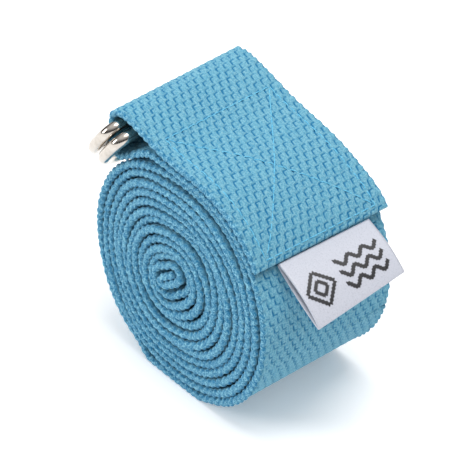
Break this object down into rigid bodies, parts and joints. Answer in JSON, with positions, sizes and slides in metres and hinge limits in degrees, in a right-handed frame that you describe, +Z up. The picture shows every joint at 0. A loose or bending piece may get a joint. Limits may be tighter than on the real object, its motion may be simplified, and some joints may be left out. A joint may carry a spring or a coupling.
{
  "type": "stretching strap",
  "caption": "Rolled cotton stretching strap: webbing wound on itself, its outer end looped round a pair of wire D-rings and sewn with a box and cross seam that holds a cloth label.",
  "frame": {"origin": "under the middle of the bounding box, on the floor the roll stands on", "axes": "+Y along the roll's axis, across the webbing; +Z up; +X from the D-rings towards the label"},
  "size_m": [0.0806, 0.0482, 0.0663],
  "materials": {
    "webbing": "woven cotton, matt, light blue",
    "label_cloth": "woven satin, white",
    "thread": "twisted sewing thread, light blue",
    "chrome": "polished plated steel wire"
  },
  "bodies": {
    "roll": {"strap_roll": "webbing", "hem_stitch": "thread"},
    "free_end": {"strap_end": "webbing", "box_stitch": "thread", "cross_stitch_first": "thread", "cross_stitch_second": "thread"},
    "outer_ring": {"d_ring_outer": "chrome"},
    "inner_ring": {"d_ring_inner": "chrome"},
    "label_flap": {"label": "label_cloth"}
  },
  "joints": [
    {"name": "free_end_lift", "type": "hinge", "parent": "roll", "child": "free_end", "pos_m": [0.02979, 0, 0.02137], "axis": [0, 1, 0], "range_deg": [0, 30]},
    {"name": "outer_ring_swing", "type": "hinge", "parent": "free_end", "child": "outer_ring", "pos_m": [-0.0253, 0.00021, 0.06118], "axis": [-0.0994, 0.9943, 0.0373], "range_deg": [0, 180]},
    {"name": "inner_ring_swing", "type": "hinge", "parent": "free_end", "child": "inner_ring", "pos_m": [-0.02144, 0.00021, 0.06023], "axis": [-0.0994, 0.9943, 0.0373], "range_deg": [0, 18]},
    {"name": "label_lift", "type": "hinge", "parent": "free_end", "child": "label_flap", "pos_m": [0.02718, 0, 0.04682], "axis": [0, -1, 0], "range_deg": [0, 80]}
  ],
  "couplings": [
    {"joint": "inner_ring_swing", "follows": "outer_ring_swing", "ratio": 0.1}
  ]
}
